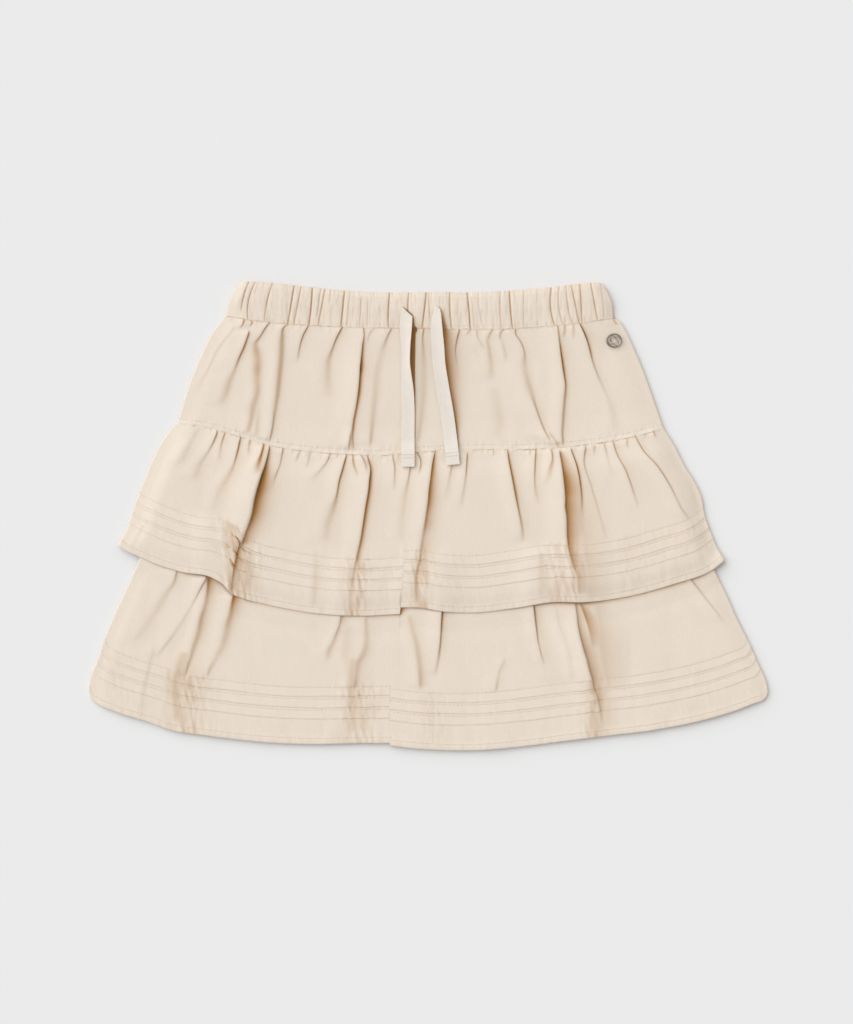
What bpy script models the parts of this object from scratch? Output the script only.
"""A girl's tiered ruffle skirt, laid flat on its back.

+X runs across the skirt, +Y up to the waist and +Z up from the surface that it lies on. The origin
is below the middle of the skirt, on that surface. A gathered elastic waistband carries a plain
upper tier, and two ruffles hang from the upper tier's lower seam: the middle tier, and below it the
longer lower tier. Each ruffle has three pressed tucks above its hem.
Lengths in the tables are millimetres and are turned to metres where a mesh is made.
"""

import math

import bmesh
import bpy
import numpy as np

MM = 0.001

# Driving sizes, in millimetres.
BACK_CLOTH = 1.1
FRONT_CLOTH = 1.2
GAP = 0.3
BAND_BACK = 2.0
BAND_FRONT = 2.0
HEM_TO_TUCK = 19.0
TUCK_PITCH = 8.5
TUCK_COUNT = 3
TUCK_DEPTH = 6.5
TUCK_RISE = 1.0
TUCK_STEP = 0.45
TAPE_WIDTH = 10.0
TAPE_THICK = 1.0
BADGE_WIDE = 12.4
BADGE_TALL = 11.0
BADGE_THICK = 1.2

# Columns of the grids, from side to side.
BAND_COLUMNS = 112
UPPER_COLUMNS = 84
RUFFLE_LEFT_COLUMNS = 44
RUFFLE_RIGHT_COLUMNS = 50
BACK_COLUMNS = 24

# Heights of the layers' undersides where they lie on each other.
SECOND = BACK_CLOTH + GAP
THIRD = SECOND + BACK_CLOTH + GAP
FOURTH = THIRD + FRONT_CLOTH + GAP
BAND_UNDER = BAND_BACK + GAP

# Edges, from left to right or from top to bottom. Columns: x, y.
WAIST_EDGE = (
    (-143.6, 172.6), (-139.5, 175.2), (-128.0, 175.7), (-96.4, 172.6), (-51.4, 168.3),
    (1.0, 168.0), (46.0, 168.3), (91.0, 171.6), (119.0, 174.8), (128.5, 174.9), (132.6, 171.8),
)
BAND_LEFT = ((-143.6, 172.6), (-149.6, 162.0), (-153.0, 150.0))
BAND_RIGHT = ((132.6, 171.8), (137.8, 160.0), (139.8, 148.5))
WAIST_SEAM = (
    (-153.0, 150.0), (-118.9, 145.1), (-90.4, 142.9), (-49.0, 141.2), (-6.4, 140.6),
    (64.9, 140.5), (95.6, 142.8), (126.4, 146.3), (139.8, 148.5),
)
UPPER_LEFT = (
    (-153.0, 150.0), (-162.4, 137.3), (-171.4, 119.3), (-180.4, 96.8), (-186.2, 78.0),
    (-188.3, 70.2),
)
UPPER_RIGHT = (
    (139.8, 148.5), (152.3, 126.8), (159.0, 114.8), (165.8, 98.3), (171.4, 82.5),
    (176.8, 65.8),
)
TIER_SEAM = (
    (-188.3, 70.2), (-165.4, 66.8), (-139.9, 59.3), (-118.9, 53.3), (-96.4, 49.5),
    (-58.9, 46.5), (-36.4, 45.8), (-9.4, 48.2), (38.6, 50.3), (72.4, 50.3), (113.6, 53.3),
    (147.4, 58.5), (176.8, 65.8),
)
MIDDLE_LEFT = (
    (-188.3, 70.2), (-195.4, 62.6), (-204.8, 47.3), (-213.4, 27.0), (-220.9, 7.5),
    (-225.4, -6.8), (-232.4, -22.0),
)
MIDDLE_RIGHT = (
    (176.8, 65.8), (185.4, 51.8), (192.8, 37.0), (200.1, 25.5), (205.1, 14.3), (207.6, 1.1),
    (214.1, -17.0), (221.6, -34.0),
)
MIDDLE_JOIN = ((-11.6, 48.0), (-15.4, 25.5), (-17.8, 0.0), (-18.6, -33.8), (-21.4, -73.6))
MIDDLE_HEM_LEFT = (
    (-232.4, -22.0), (-228.0, -25.4), (-217.1, -30.5), (-200.3, -37.5), (-184.9, -42.0),
    (-163.0, -45.8), (-155.0, -50.5), (-147.9, -58.0), (-138.7, -62.0), (-123.4, -65.9),
    (-80.3, -73.6), (-50.0, -74.9), (-21.4, -73.6),
)
MIDDLE_HEM_RIGHT = (
    (-21.0, -68.6), (-5.0, -69.0), (9.7, -71.5), (35.9, -72.5), (65.3, -69.0),
    (93.1, -64.7), (117.6, -64.6), (150.3, -60.3), (183.0, -51.3), (214.1, -39.8),
    (221.6, -34.0),
)
LOWER_LEFT = (
    (-176.0, 66.9), (-190.0, 35.0), (-205.0, 0.0), (-217.1, -33.0), (-225.6, -52.1),
    (-234.4, -71.1), (-242.9, -91.0), (-248.1, -107.4), (-253.3, -119.6), (-255.0, -132.0),
)
LOWER_RIGHT = (
    (165.0, 61.1), (179.0, 34.0), (196.0, -2.0), (214.1, -40.1), (223.1, -57.8),
    (232.0, -77.5), (240.9, -95.3), (248.0, -111.3), (253.6, -124.0), (255.0, -132.0),
)
LOWER_JOIN = ((-23.0, 45.6), (-26.0, -20.0), (-28.9, -75.0), (-28.9, -170.4))
LOWER_TOP_LEFT = (
    (-176.0, 66.9), (-139.9, 57.8), (-96.4, 48.0), (-58.9, 45.0), (-23.0, 45.6),
)
LOWER_TOP_RIGHT = (
    (-22.6, 45.6), (38.6, 48.6), (72.4, 48.8), (113.6, 51.8), (165.0, 61.1),
)
LOWER_HEM_LEFT = (
    (-255.0, -132.0), (-253.0, -137.6), (-248.1, -141.0), (-234.4, -147.0),
    (-208.3, -155.0), (-194.6, -160.2), (-165.0, -164.9), (-109.7, -170.6),
    (-43.9, -170.6), (-28.9, -170.4),
)
LOWER_HEM_RIGHT = (
    (-28.5, -172.2), (-9.4, -174.5), (11.4, -175.7), (29.2, -175.9), (64.8, -173.6),
    (100.4, -169.1), (134.2, -165.0), (171.4, -160.2), (207.1, -153.0), (242.6, -141.5),
    (252.6, -137.0), (255.0, -132.0),
)

# Creases of the gathered waistband. Columns: x at its top edge, x at its seam, depth.
WAIST_CREASES = (
    (-134, -141, 1.2), (-129, -136, 1.4), (-117, -123, 1.2), (-100, -105, 1.5),
    (-95, -99, 0.9), (-86, -88, 1.5), (-76, -83, 1.2), (-72, -74, 1.0), (-62, -65, 1.3),
    (-55, -58, 0.9), (-48, -50, 1.0), (-42, -44, 0.8), (-35, -36, 0.7), (-28, -29, 1.5),
    (-14, -15, 1.0), (-2, -5, 1.3), (5, 5, 0.9), (16, 18, 1.4), (27, 28, 0.7),
    (32, 35, 1.2), (39, 41, 0.9), (47, 48, 0.7), (54, 54, 1.5), (62, 63, 1.5),
    (72, 72, 1.4), (79, 80, 0.7), (86, 86, 0.8), (93, 94, 1.3), (99, 100, 0.9),
    (105, 112, 1.5), (114, 117, 1.3), (122, 127, 1.4), (130, 135, 1.0),
)

# Folds: each swells slowly on its left and drops on its right, along a line that may bend.
# Columns: x and y at its top, x halfway, x and y at its foot, height, width.
UPPER_FOLDS = (
    (-147, 141, -163, -175, 92, 0.8, 11), (-135, 138, -145, -155, 83, 2.4, 10),
    (-119, 146, -129, -134, 64, 1.6, 13), (-105, 144, -112, -119, 59, 2.6, 9),
    (-90, 142, -96, -99, 116, 1.6, 8), (-65, 142, -75, -74, 87, 1.3, 13),
    (-49, 141, -52, -60, 50, 3.6, 11), (-42, 141, -43, -45, 134, 1.2, 6),
    (-28, 141, -39, -43, 48, 1.4, 13), (-21, 122, -22, -24, 85, 0.6, 10),
    (-4, 141, -3, -7, 57, 1.0, 12), (23, 140, 21, 20, 122, 1.8, 7),
    (36, 139, 39, 42, 125, 1.0, 8), (46, 130, 46, 47, 110, 1.0, 9),
    (51, 93, 53, 53, 58, 0.7, 11), (65, 140, 77, 98, 49, 2.6, 12),
    (97, 142, 102, 100, 52, 3.0, 10), (114, 142, 127, 140, 69, 2.8, 10),
    (139, 148, 141, 143, 132, 0.9, 7),
)
MIDDLE_FOLDS = (
    (-174, 61, -180, -186, 18, 0.9, 11), (-159, 62, -168, -179, 18, 1.5, 9),
    (-153, 62, -154, -156, 53, 1.0, 6), (-141, 60, -146, -154, 24, 2.3, 9),
    (-134, 56, -135, -135, 50, 1.0, 6), (-124, 54, -125, -126, 40, 2.2, 7),
    (-118, 52, -135, -148, -60, 5.4, 15), (-109, 49, -112, -116, 27, 1.7, 8),
    (-99, 47, -100, -101, 36, 1.2, 7), (-89, 48, -90, -90, 40, 1.2, 7),
    (-74, 47, -78, -85, 30, 1.6, 8), (-62, 46, -67, -78, -13, 1.6, 10),
    (-57, 45, -56, -55, 33, 1.2, 6), (-51, 46, -49, -48, 40, 1.2, 6),
    (-45, 46, -46, -51, -39, 3.6, 11), (-27, 46, -25, -26, 20, 1.5, 8),
    (-14, 40, -15, -18, 14, 0.9, 9), (-8, 48, -7, -6, 41, 1.0, 6),
    (4, 49, 3, -2, -19, 3.6, 10), (29, 48, 27, 25, 11, 1.5, 8),
    (48, 49, 48, 48, 39, 1.0, 6), (59, 49, 64, 72, -15, 2.6, 10),
    (80, 49, 79, 80, 14, 1.7, 8), (92, 50, 92, 91, 39, 1.0, 6),
    (99, 50, 104, 108, -35, 4.2, 12), (107, 51, 114, 114, -12, 2.4, 9),
    (117, 52, 122, 132, -12, 2.2, 10), (124, 53, 125, 126, 42, 1.0, 6),
    (132, 54, 134, 135, 40, 1.0, 6), (138, 56, 147, 156, 9, 2.0, 10),
    (149, 57, 150, 151, 48, 0.9, 6), (154, 59, 175, 192, -1, 2.6, 11),
    (162, 61, 164, 166, 52, 0.9, 6), (168, 63, 171, 174, 52, 0.9, 6),
    (195, 31, 199, 204, 1, 0.8, 9), (-214, -8, -219, -223, -26, 1.0, 8),
    (-196, -6, -202, -207, -38, 1.0, 9), (30, -20, 29, 29, -70, 0.8, 12),
    (84, -28, 85, 86, -62, 0.9, 9), (152, -18, 156, 159, -55, 0.9, 12),
)
LOWER_FOLDS = (
    (-188, -38, -205, -220, -95, 1.2, 12), (-170, -40, -182, -201, -100, 1.4, 10),
    (-160, -40, -170, -183, -122, 2.6, 13), (-143, -55, -151, -165, -116, 2.2, 11),
    (-65, -68, -69, -73, -107, 1.5, 10), (-45, -66, -48, -54, -131, 1.3, 10),
    (-10, -68, -5, -4, -124, 1.2, 10), (11, -64, 9, 5, -118, 2.4, 9),
    (56, -98, 54, 51, -130, 0.9, 10), (78, -60, 82, 88, -115, 2.2, 10),
    (96, -60, 103, 108, -118, 1.1, 10), (108, -52, 117, 129, -164, 4.6, 13),
    (117, -62, 119, 121, -88, 1.2, 7), (196, -44, 207, 219, -75, 1.0, 11),
    (-206, -100, -212, -216, -150, 1.0, 9), (-96, -118, -97, -98, -165, 0.9, 12),
    (-60, -112, -62, -63, -166, 0.9, 10), (60, -124, 61, 62, -170, 0.8, 13),
    (176, -108, 180, 184, -152, 0.9, 13),
)

# The free tape ends. Columns: x and y of the middle line, height above the cloth.
LEFT_TAPE = (
    (-15.4, 156.4, 0.4), (-15.8, 149.0, 1.6), (-16.4, 140.0, 4.6), (-16.8, 126.0, 4.4),
    (-16.8, 111.0, 3.8), (-16.2, 97.0, 2.8), (-15.4, 82.0, 1.6), (-15.4, 60.0, 0.6),
    (-15.4, 36.9, 0.0),
)
RIGHT_TAPE = (
    (6.6, 156.6, 0.4), (6.4, 149.0, 2.6), (6.2, 140.0, 5.0), (7.0, 128.0, 5.4),
    (8.2, 115.0, 4.4), (10.6, 96.0, 2.8), (14.2, 76.0, 1.4), (16.8, 58.0, 0.5),
    (19.4, 38.6, 0.0),
)
TAPE_STATIONS = 26
BADGE_PLACE = (138.9, 131.2)

ECRU = (0.80, 0.68, 0.55)
TAPE_WHITE = (0.76, 0.70, 0.62)
SILVER = (0.66, 0.65, 0.63)


def ease(share):
    """0 to 1 with soft ends, for shares from 0 to 1."""
    share = np.clip(share, 0.0, 1.0)
    return share * share * (3.0 - 2.0 * share)


def along(table, share):
    """Points on the smooth line through a table's rows, at shares (0 to 1) of its length."""
    rows = np.array(table, float)
    steps = np.linalg.norm(np.diff(rows[:, :2], axis=0), axis=1)
    marks = np.concatenate([[0.0], np.cumsum(steps)]) / steps.sum()
    lean = np.gradient(rows, marks, axis=0)
    share = np.clip(np.asarray(share, float), 0.0, 1.0)
    at = np.clip(np.searchsorted(marks, share, side="right") - 1, 0, len(rows) - 2)
    span = marks[at + 1] - marks[at]
    u = ((share - marks[at]) / span)[..., None]
    span = span[..., None]
    start = (2 * u**3 - 3 * u**2 + 1) * rows[at] + (u**3 - 2 * u**2 + u) * span * lean[at]
    end = (3 * u**2 - 2 * u**3) * rows[at + 1] + (u**3 - u**2) * span * lean[at + 1]
    return start + end


def shifted(table, rise):
    """The same edge, moved along Y."""
    return tuple((x, y + rise) for x, y in table)


def patch(top, foot, left, right, across, down):
    """XY of grid points inside four edges (a Coons patch), at shares across and down it."""
    upper, lower = along(top, across), along(foot, across)
    west, east = along(left, down), along(right, down)
    s, t = across[..., None], down[..., None]
    corners = (1 - s) * (1 - t) * np.array(top[0]) + s * (1 - t) * np.array(top[-1])
    corners = corners + (1 - s) * t * np.array(foot[0]) + s * t * np.array(foot[-1])
    return (1 - t) * upper + t * lower + (1 - s) * west + s * east - corners


def height_at(table, x):
    """Y of an edge that runs from left to right, at x."""
    line = along(table, np.linspace(0.0, 1.0, 160))
    return np.interp(x, line[:, 0], line[:, 1])


def side_at(table, y):
    """X of an edge that runs from top to bottom, at y."""
    line = along(table, np.linspace(0.0, 1.0, 160))
    return np.interp(-y, -line[:, 1], line[:, 0])


def from_sides(x, y, left, right):
    """Distance from the nearer side edge."""
    return np.minimum(x - side_at(left, y), side_at(right, y) - x)


def swell(offset):
    """A fold across its width: a slow rise, a crest left of the line and a quick drop at it."""
    crest = offset + 0.45
    reach = np.where(crest < 0.0, 0.55, 0.30)
    return np.exp(-((crest / reach) ** 2))


def folds(x, y, table):
    """Height that a table's folds add at x, y."""
    total = np.zeros_like(x)
    for x_top, y_top, x_half, x_foot, y_foot, height, width in table:
        share = (y_top - y) / (y_top - y_foot)
        a = np.clip(share, -0.2, 1.3)
        line = x_top * (1 - a) * (1 - 2 * a) + 4 * x_half * a * (1 - a) + x_foot * a * (2 * a - 1)
        strength = ease((share + 0.12) / 0.2) * ease((1.15 - share) / 0.5)
        total = total + height * strength * swell((x - line) / width)
    return total


def gathers(x, drop, pitch, height, reach):
    """Small uneven swells that spring from a gathered seam and fade below it."""
    turn = 2.0 * math.pi * x / pitch + 1.3 * np.sin(x / 17.0) + 0.9 * np.sin(x / 7.3 + 1.0)
    uneven = 0.75 + 0.25 * np.sin(x / 11.0 + 2.0)
    return height * uneven * np.exp(-np.maximum(drop, 0.0) / reach) * (0.5 + 0.5 * np.sin(turn))


# ---- Heights of the outer faces -------------------------------------------------------------

def band_height(x, y):
    """The waistband's front: a padded casing, creased across by its elastic."""
    top, seam = height_at(WAIST_EDGE, x), height_at(WAIST_SEAM, x)
    share = np.clip((top - y) / (top - seam), 0.0, 1.0)
    side = ease(from_sides(x, y, BAND_LEFT, BAND_RIGHT) / 9.0)
    puff = (4.0 * share * (1.0 - share)) ** 0.5
    crease = np.zeros_like(x)
    for x_top, x_seam, depth in WAIST_CREASES:
        line = x_top + (x_seam - x_top) * share
        crease = crease + depth * np.exp(-(((x - line) / 2.4) ** 2))
    swell_height = np.maximum(2.2 - crease, 0.2) * (0.35 + 0.65 * puff)
    return BAND_UNDER + BAND_FRONT + side * swell_height


def upper_height(x, y):
    """The upper tier's front, gathered at the waist and lifted by the ruffles' seam."""
    drop = height_at(WAIST_SEAM, x) - y
    to_seam = y - height_at(TIER_SEAM, x)
    side = ease(from_sides(x, y, UPPER_LEFT, UPPER_RIGHT) / 12.0)
    lift = 1.4 * ease(1.0 - to_seam / 14.0) + 1.0 * ease(1.0 - drop / 16.0)
    relief = folds(x, y, UPPER_FOLDS) + gathers(x, drop, 9.5, 1.4, 9.0)
    puff = 1.2 * ease(drop / 30.0) * ease(to_seam / 25.0)
    near_seam = 0.35 + 0.65 * ease((to_seam + 1.0) / 6.0)
    return SECOND + FRONT_CLOTH + side * (lift + puff + relief * near_seam)


def middle_hem(x):
    """Y of the middle tier's hem, which steps at the join of its two widths."""
    step = MIDDLE_HEM_RIGHT[0][0]
    return np.where(x < step, height_at(MIDDLE_HEM_LEFT, x), height_at(MIDDLE_HEM_RIGHT, x))


def lower_relief(x, y):
    """The lower tier's folds, which die out under the middle tier."""
    hidden = ease((middle_hem(x) + 25.0 - y) / 22.0)
    side = ease(from_sides(x, y, LOWER_LEFT, LOWER_RIGHT) / 10.0)
    puff = 1.2 * ease((middle_hem(x) + 5.0 - y) / 30.0)
    return side * hidden * (folds(x, y, LOWER_FOLDS) + puff)


def drape(x, y, level):
    """How high the lower tier is carried: 1 under the middle tier, 0 where it lies by itself."""
    return level * np.clip((y - middle_hem(x) + 14.0) / 12.0, 0.0, 1.0)


def lower_height(x, y):
    """The lower tier's front."""
    carried = drape(x, y, THIRD - SECOND)
    return SECOND + FRONT_CLOTH + carried + lower_relief(x, y)


def lower_crests(x):
    """The highest that the lower tier's folds reach under the middle tier's hem, near x."""
    highest = np.zeros_like(x)
    for aside in (-6.0, -3.0, 0.0, 3.0, 6.0):
        for above in (-3.0, 2.0, 9.0, 17.0, 25.0):
            highest = np.maximum(highest, lower_relief(x + aside, middle_hem(x) + above))
    return highest


def middle_height(x, y):
    """The middle tier's front, lying over the lower tier and its folds."""
    drop = height_at(TIER_SEAM, x) - y
    to_hem = y - middle_hem(x)
    edge = from_sides(x, y, MIDDLE_LEFT, MIDDLE_RIGHT)
    carried = ease(edge / 8.0) * (FOURTH - SECOND + 0.2)
    over_folds = ease(edge / 12.0) * lower_crests(x) * ease((50.0 - to_hem) / 18.0)
    relief = folds(x, y, MIDDLE_FOLDS) + gathers(x, drop, 9.0, 1.8, 11.0)
    puff = 1.6 * ease(drop / 18.0)
    return SECOND + FRONT_CLOTH + carried + over_folds + ease(edge / 12.0) * (relief + puff)


# ---- Meshes ---------------------------------------------------------------------------------

def material(name, colour, roughness, metallic=0.0):
    """A Principled BSDF material."""
    finish = bpy.data.materials.new(name)
    finish.use_nodes = True
    shader = finish.node_tree.nodes["Principled BSDF"]
    shader.inputs["Base Color"].default_value = (*colour, 1.0)
    shader.inputs["Roughness"].default_value = roughness
    shader.inputs["Metallic"].default_value = metallic
    return finish


def place(name, points, faces, finish):
    """A named object of one closed mesh. Points are in millimetres."""
    mesh = bpy.data.meshes.new(name)
    mesh.from_pydata([tuple(value * MM for value in point) for point in points], [], faces)
    shape = bmesh.new()
    shape.from_mesh(mesh)
    bmesh.ops.recalc_face_normals(shape, faces=shape.faces)
    shape.to_mesh(mesh)
    shape.free()
    mesh.shade_smooth()
    mesh.set_sharp_from_angle(angle=math.radians(50.0))
    mesh.materials.append(finish)
    piece = bpy.data.objects.new(name, mesh)
    bpy.context.scene.collection.objects.link(piece)
    return piece


def lowest(heights, kept):
    """Each kept row's lowest height, counting the dropped rows beside it."""
    rows = []
    for index, row in enumerate(kept):
        first = kept[index - 1] + 1 if index > 0 else row
        last = kept[index + 1] - 1 if index + 1 < len(kept) else row
        rows.append(heights[min(first, row):max(last, row) + 1].min(axis=0))
    return np.array(rows)


def zipped(first, second, first_marks, second_marks):
    """Triangles between two chains of points whose marks both run from 0 to 1."""
    faces = []
    a = b = 0
    while a + 1 < len(first) or b + 1 < len(second):
        if b + 1 == len(second) or (a + 1 < len(first) and first_marks[a + 1] <= second_marks[b + 1]):
            faces.append((first[a], first[a + 1], second[b]))
            a += 1
        else:
            faces.append((first[a], second[b + 1], second[b]))
            b += 1
    return faces


def wall(name, ground, outer, plain, kept, thickness, finish):
    """A cloth wall: an outer face over a grid, and below it a plainer inner face.

    ground holds x, y of each grid point, outer its height and plain its height without tucks.
    kept lists the rows that the inner face has.
    """
    rows, columns = outer.shape
    top_points = np.dstack([ground, outer]).reshape(-1, 3)
    inner = lowest(plain, kept) - thickness
    low_points = np.dstack([ground[kept], inner]).reshape(-1, 3)
    top = np.arange(rows * columns).reshape(rows, columns)
    low = rows * columns + np.arange(len(kept) * columns).reshape(len(kept), columns)
    faces = []
    for grid, flip in ((top, False), (low, True)):
        corners = np.stack([grid[:-1, :-1], grid[1:, :-1], grid[1:, 1:], grid[:-1, 1:]], axis=-1)
        for quad in corners.reshape(-1, 4).tolist():
            faces.append(tuple(quad[::-1]) if flip else tuple(quad))
    for edge, under in ((top[0], low[0]), (top[-1][::-1], low[-1][::-1])):
        for index in range(columns - 1):
            faces.append((edge[index], edge[index + 1], under[index + 1], under[index]))
    marks = np.arange(rows) / (rows - 1)
    for column, turn in ((0, True), (-1, False)):
        for face in zipped(top[:, column], low[:, column], marks, marks[kept]):
            faces.append(face[::-1] if turn else face)
    points = np.vstack([top_points, low_points]).tolist()
    return place(name, points, [tuple(int(corner) for corner in face) for face in faces], finish)


def even_grid(columns, shares):
    """Shares across and down a patch whose rows lie at the given shares."""
    across, down = np.meshgrid(np.linspace(0.0, 1.0, columns + 1), np.array(shares))
    return across, down


# ---- Waistband and upper tier ---------------------------------------------------------------

def make_waistband(cloth):
    """The casing's front with its creases, and its plain back."""
    seam = shifted(WAIST_SEAM, GAP / 2)
    left = BAND_LEFT[:-1] + (seam[0],)
    right = BAND_RIGHT[:-1] + (seam[-1],)
    across, down = even_grid(BAND_COLUMNS, (0.0, 0.1, 0.3, 0.55, 0.82, 1.0))
    ground = patch(WAIST_EDGE, seam, left, right, across, down)
    heights = band_height(ground[..., 0], ground[..., 1])
    wall("waistband_front", ground, heights, heights, [0, 2, 5], BAND_FRONT, cloth)
    across, down = even_grid(BACK_COLUMNS, (0.0, 1.0))
    ground = patch(WAIST_EDGE, seam, left, right, across, down)
    level = np.full(ground.shape[:2], BAND_BACK)
    wall("waistband_back", ground, level, level, [0, 1], BAND_BACK, cloth)


def make_upper_tier(cloth):
    """The plain tier between the waist and the ruffles."""
    top = shifted(WAIST_SEAM, -GAP / 2)
    foot = shifted(TIER_SEAM, GAP / 2)
    left = (top[0],) + UPPER_LEFT[1:-1] + (foot[0],)
    right = (top[-1],) + UPPER_RIGHT[1:-1] + (foot[-1],)
    shares = (0.0, 0.05, 0.13, 0.23, 0.35, 0.5, 0.65, 0.79, 0.91, 1.0)
    across, down = even_grid(UPPER_COLUMNS, shares)
    ground = patch(top, foot, left, right, across, down)
    heights = upper_height(ground[..., 0], ground[..., 1])
    wall("upper_tier_front", ground, heights, heights, [0, 2, 4, 6, 8, 9], FRONT_CLOTH, cloth)
    across, down = even_grid(BACK_COLUMNS, (0.0, 1.0))
    ground = patch(top, foot, left, right, across, down)
    level = np.full(ground.shape[:2], BACK_CLOTH)
    wall("upper_tier_back", ground, level, level, [0, 1], BACK_CLOTH, cloth)


# ---- Ruffles --------------------------------------------------------------------------------

def tuck_rows():
    """Rows of the tucked band: distance from the hem and height, from the top stitch line down."""
    top_stitch = HEM_TO_TUCK + (TUCK_COUNT - 1) * TUCK_PITCH + TUCK_DEPTH
    rows = [(top_stitch, 0.0)]
    for tuck in reversed(range(TUCK_COUNT)):
        edge = HEM_TO_TUCK + tuck * TUCK_PITCH
        rows.append((edge, TUCK_RISE))
        rows.append((edge - TUCK_STEP, 0.0))
    rows.append((0.0, 0.0))
    return rows


def ruffle_front(name, edges, columns, shares, kept, height, cloth):
    """One width of a ruffle's front: its upper rows at shares of the way to the tucks."""
    top, foot, left, right = edges
    across_line = np.linspace(0.0, 1.0, columns + 1)
    length = np.linalg.norm(along(foot, across_line) - along(top, across_line), axis=1)
    tucks = tuck_rows()
    to_tucks = 1.0 - tucks[0][0] / length
    down = [share * to_tucks for share in shares[:-1]]
    down += [1.0 - distance / length for distance, _ in tucks]
    rise = [0.0] * (len(shares) - 1) + [lift for _, lift in tucks]
    down = np.array(down)
    across = np.broadcast_to(across_line, down.shape)
    ground = patch(top, foot, left, right, across, down)
    plain = height(ground[..., 0], ground[..., 1])
    outer = plain + np.array(rise)[:, None]
    wall(name, ground, outer, plain, kept, FRONT_CLOTH, cloth)


def make_middle_tier(cloth):
    """The upper ruffle: two front widths and a flat back."""
    seam = shifted(TIER_SEAM, -GAP / 2)
    join_x = MIDDLE_JOIN[0][0]
    left_top = tuple(row for row in seam if row[0] < join_x - 8.0)
    left_top += ((join_x - GAP / 2, float(height_at(seam, join_x))),)
    right_top = ((join_x + GAP / 2, left_top[-1][1]),)
    right_top += tuple(row for row in seam if row[0] > join_x + 8.0)
    join_left = tuple((x - GAP / 2, y) for x, y in MIDDLE_JOIN[1:-1])
    join_right = tuple((x + GAP / 2, y) for x, y in MIDDLE_JOIN[1:-1])
    shares = (0.0, 0.07, 0.16, 0.28, 0.42, 0.58, 0.74, 0.88, 1.0)
    kept = [0, 2, 4, 6, 8, 12, 15]
    left_edges = (
        left_top, MIDDLE_HEM_LEFT, (seam[0],) + MIDDLE_LEFT[1:],
        (left_top[-1],) + join_left + (MIDDLE_HEM_LEFT[-1],),
    )
    right_edges = (
        right_top, MIDDLE_HEM_RIGHT,
        (right_top[0],) + join_right + (MIDDLE_HEM_RIGHT[0],),
        (seam[-1],) + MIDDLE_RIGHT[1:],
    )
    ruffle_front("middle_tier_front_left", left_edges, RUFFLE_LEFT_COLUMNS, shares, kept,
                 middle_height, cloth)
    ruffle_front("middle_tier_front_right", right_edges, RUFFLE_RIGHT_COLUMNS, shares, kept,
                 middle_height, cloth)
    hem = shifted(MIDDLE_HEM_LEFT[:-1] + MIDDLE_HEM_RIGHT[2:], 1.5)
    left = (seam[0],) + MIDDLE_LEFT[1:-1] + (hem[0],)
    right = (seam[-1],) + MIDDLE_RIGHT[1:-1] + (hem[-1],)
    across, down = even_grid(2 * BACK_COLUMNS, (0.0, 0.3, 0.6, 1.0))
    ground = patch(seam, hem, left, right, across, down)
    level = np.full(ground.shape[:2], BACK_CLOTH)
    wall("middle_tier_back", ground, level, level, [0, 1, 2, 3], BACK_CLOTH, cloth)


def lower_shares(edges, columns, offsets):
    """Shares down a lower-tier grid at which it lies the given distances above the middle hem."""
    top, foot, left, right = edges
    across = np.linspace(0.0, 1.0, columns + 1)
    rows = [np.zeros(columns + 1)]
    for offset in offsets:
        share = np.full(columns + 1, 0.5)
        for _ in range(12):
            ground = patch(top, foot, left, right, across, share)
            over = ground[:, 1] - (middle_hem(ground[:, 0]) + offset)
            share = np.clip(share + over / 230.0, 0.02, 0.98)
        rows.append(share)
    return across, rows


def lower_front(name, edges, columns, cloth):
    """One width of the lower ruffle's front, from its hidden top to its hem."""
    top, foot, left, right = edges
    across_line, rows = lower_shares(edges, columns, (25.0, 12.0, -2.0, -14.0))
    length = np.linalg.norm(along(foot, across_line) - along(top, across_line), axis=1)
    tucks = tuck_rows()
    to_tucks = 1.0 - tucks[0][0] / length
    for share in (0.33, 0.68):
        rows.append(rows[4] + (to_tucks - rows[4]) * share)
    rise = [0.0] * len(rows) + [lift for _, lift in tucks]
    rows += [1.0 - distance / length for distance, _ in tucks]
    down = np.array(rows)
    across = np.broadcast_to(across_line, down.shape)
    ground = patch(top, foot, left, right, across, down)
    plain = lower_height(ground[..., 0], ground[..., 1])
    outer = plain + np.array(rise)[:, None]
    wall(name, ground, outer, plain, [0, 1, 3, 4, 5, 7, 11, 14], FRONT_CLOTH, cloth)


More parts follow.
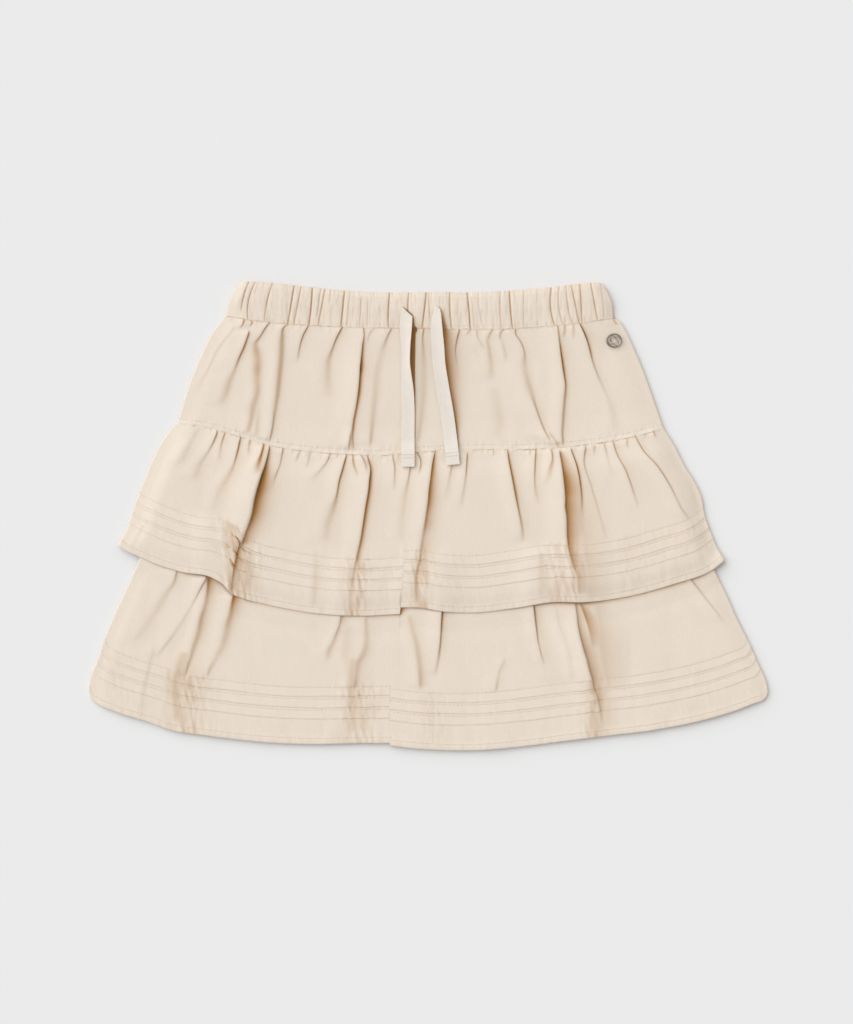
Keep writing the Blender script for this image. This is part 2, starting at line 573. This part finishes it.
def make_lower_tier(cloth):
    """The lower ruffle, which hangs from the same seam, inside the upper one."""
    left_edges = (LOWER_TOP_LEFT, LOWER_HEM_LEFT, LOWER_LEFT, LOWER_JOIN)
    inner_join = ((LOWER_TOP_RIGHT[0],) + tuple((x + GAP, y) for x, y in LOWER_JOIN[1:-1])
                  + (LOWER_HEM_RIGHT[0],))
    right_edges = (LOWER_TOP_RIGHT, LOWER_HEM_RIGHT, inner_join, LOWER_RIGHT)
    lower_front("lower_tier_front_left", left_edges, RUFFLE_LEFT_COLUMNS, cloth)
    lower_front("lower_tier_front_right", right_edges, RUFFLE_RIGHT_COLUMNS, cloth)
    top = LOWER_TOP_LEFT[:-1] + LOWER_TOP_RIGHT[1:]
    hem = shifted(LOWER_HEM_LEFT[:-1] + LOWER_HEM_RIGHT[2:], 1.5)
    edges = (top, hem, LOWER_LEFT[:-1] + (hem[0],), LOWER_RIGHT[:-1] + (hem[-1],))
    across_line, rows = lower_shares(edges, 2 * BACK_COLUMNS, (-2.0, -14.0))
    down = np.array(rows + [np.ones(2 * BACK_COLUMNS + 1)])
    across = np.broadcast_to(across_line, down.shape)
    ground = patch(*edges, across, down)
    level = BACK_CLOTH + drape(ground[..., 0], ground[..., 1], SECOND)
    wall("lower_tier_back", ground, level, level, [0, 1, 2, 3], BACK_CLOTH, cloth)


# ---- Drawstring ends and badge --------------------------------------------------------------

def cloth_top(x, y):
    """Height of the cloth that a tape lies on: waistband, upper tier, then middle tier."""
    on_band = y > height_at(WAIST_SEAM, x)
    on_middle = y < height_at(TIER_SEAM, x)
    height = np.where(on_band, band_height(x, y), upper_height(x, y))
    return np.where(on_middle, middle_height(x, y), height)


def make_tape(name, table, finish):
    """A flat tape end, laid over the highest cloth below it and standing off it near its top."""
    line = along(table, np.linspace(0.0, 1.0, TAPE_STATIONS))
    way = np.gradient(line[:, :2], axis=0)
    way /= np.linalg.norm(way, axis=1)[:, None]
    aside = np.column_stack([-way[:, 1], way[:, 0]])
    seat = np.full(TAPE_STATIONS, -1e9)
    for across in (-5.5, -2.5, 0.0, 2.5, 5.5):
        for ahead in (-4.0, -2.0, 0.0, 2.0, 4.0):
            spot = line[:, :2] + aside * across + way * ahead
            seat = np.maximum(seat, cloth_top(spot[:, 0], spot[:, 1]))
    seat = np.convolve(np.pad(seat, 2, mode="edge"), np.ones(5) / 5.0, mode="valid")
    seat = seat + GAP + 0.5 + line[:, 2]
    points = []
    for station in range(TAPE_STATIONS):
        for across, rise in ((1, TAPE_THICK), (-1, TAPE_THICK), (-1, 0.0), (1, 0.0)):
            x, y = line[station, :2] + aside[station] * across * TAPE_WIDTH / 2
            points.append((x, y, seat[station] + rise))
    faces = [(0, 1, 2, 3), tuple(4 * TAPE_STATIONS - 4 + corner for corner in (3, 2, 1, 0))]
    for station in range(TAPE_STATIONS - 1):
        for corner in range(4):
            here = 4 * station + corner
            beside = 4 * station + (corner + 1) % 4
            faces.append((here, here + 4, beside + 4, beside))
    place(name, points, faces, finish)


def make_badge(finish):
    """An oval openwork badge: a rim, a small oval inside it and four bars between them."""
    sectors = 32
    rings = (0.34, 0.52, 0.80, 1.0)
    bars = (3, 12, 19, 28)
    centre_x, centre_y = BADGE_PLACE
    reach = np.linspace(-6.0, 6.0, 7)
    spot_x, spot_y = np.meshgrid(centre_x + reach, centre_y + reach)
    base = float(upper_height(spot_x, spot_y).max()) + GAP
    points = []
    for rise in (BADGE_THICK, 0.0):
        for share in rings:
            for sector in range(sectors):
                turn = 2.0 * math.pi * sector / sectors
                x = centre_x + share * BADGE_WIDE / 2 * math.cos(turn)
                y = centre_y + share * BADGE_TALL / 2 * math.sin(turn)
                points.append((x, y, base + rise))
    layer = len(rings) * sectors
    filled = {(0, sector) for sector in range(sectors)} | {(2, sector) for sector in range(sectors)}
    filled |= {(1, sector) for sector in bars}
    faces = []
    for ring, sector in sorted(filled):
        after = (sector + 1) % sectors
        inner, inner_after = ring * sectors + sector, ring * sectors + after
        outer, outer_after = inner + sectors, inner_after + sectors
        faces.append((inner, outer, outer_after, inner_after))
        faces.append(tuple(corner + layer for corner in (inner_after, outer_after, outer, inner)))
        sides = (
            ((ring, sector - 1 if sector else sectors - 1), inner, outer),
            ((ring, after), outer_after, inner_after),
            ((ring - 1, sector), inner_after, inner),
            ((ring + 1, sector), outer, outer_after),
        )
        for beside, start, end in sides:
            if beside not in filled:
                faces.append((start, start + layer, end + layer, end))
    used = sorted({corner for face in faces for corner in face})
    order = {corner: index for index, corner in enumerate(used)}
    place("badge", [points[corner] for corner in used],
          [tuple(order[corner] for corner in face) for face in faces], finish)


def main():
    for old in list(bpy.data.objects):
        bpy.data.objects.remove(old, do_unlink=True)
    make_waistband(material("waistband cloth", ECRU, 0.9))
    make_upper_tier(material("upper tier cloth", ECRU, 0.9))
    make_middle_tier(material("middle tier cloth", ECRU, 0.9))
    make_lower_tier(material("lower tier cloth", ECRU, 0.9))
    tape = material("drawstring tape", TAPE_WHITE, 0.85)
    make_tape("drawstring_left", LEFT_TAPE, tape)
    make_tape("drawstring_right", RIGHT_TAPE, tape)
    make_badge(material("badge metal", SILVER, 0.3, 1.0))


main()
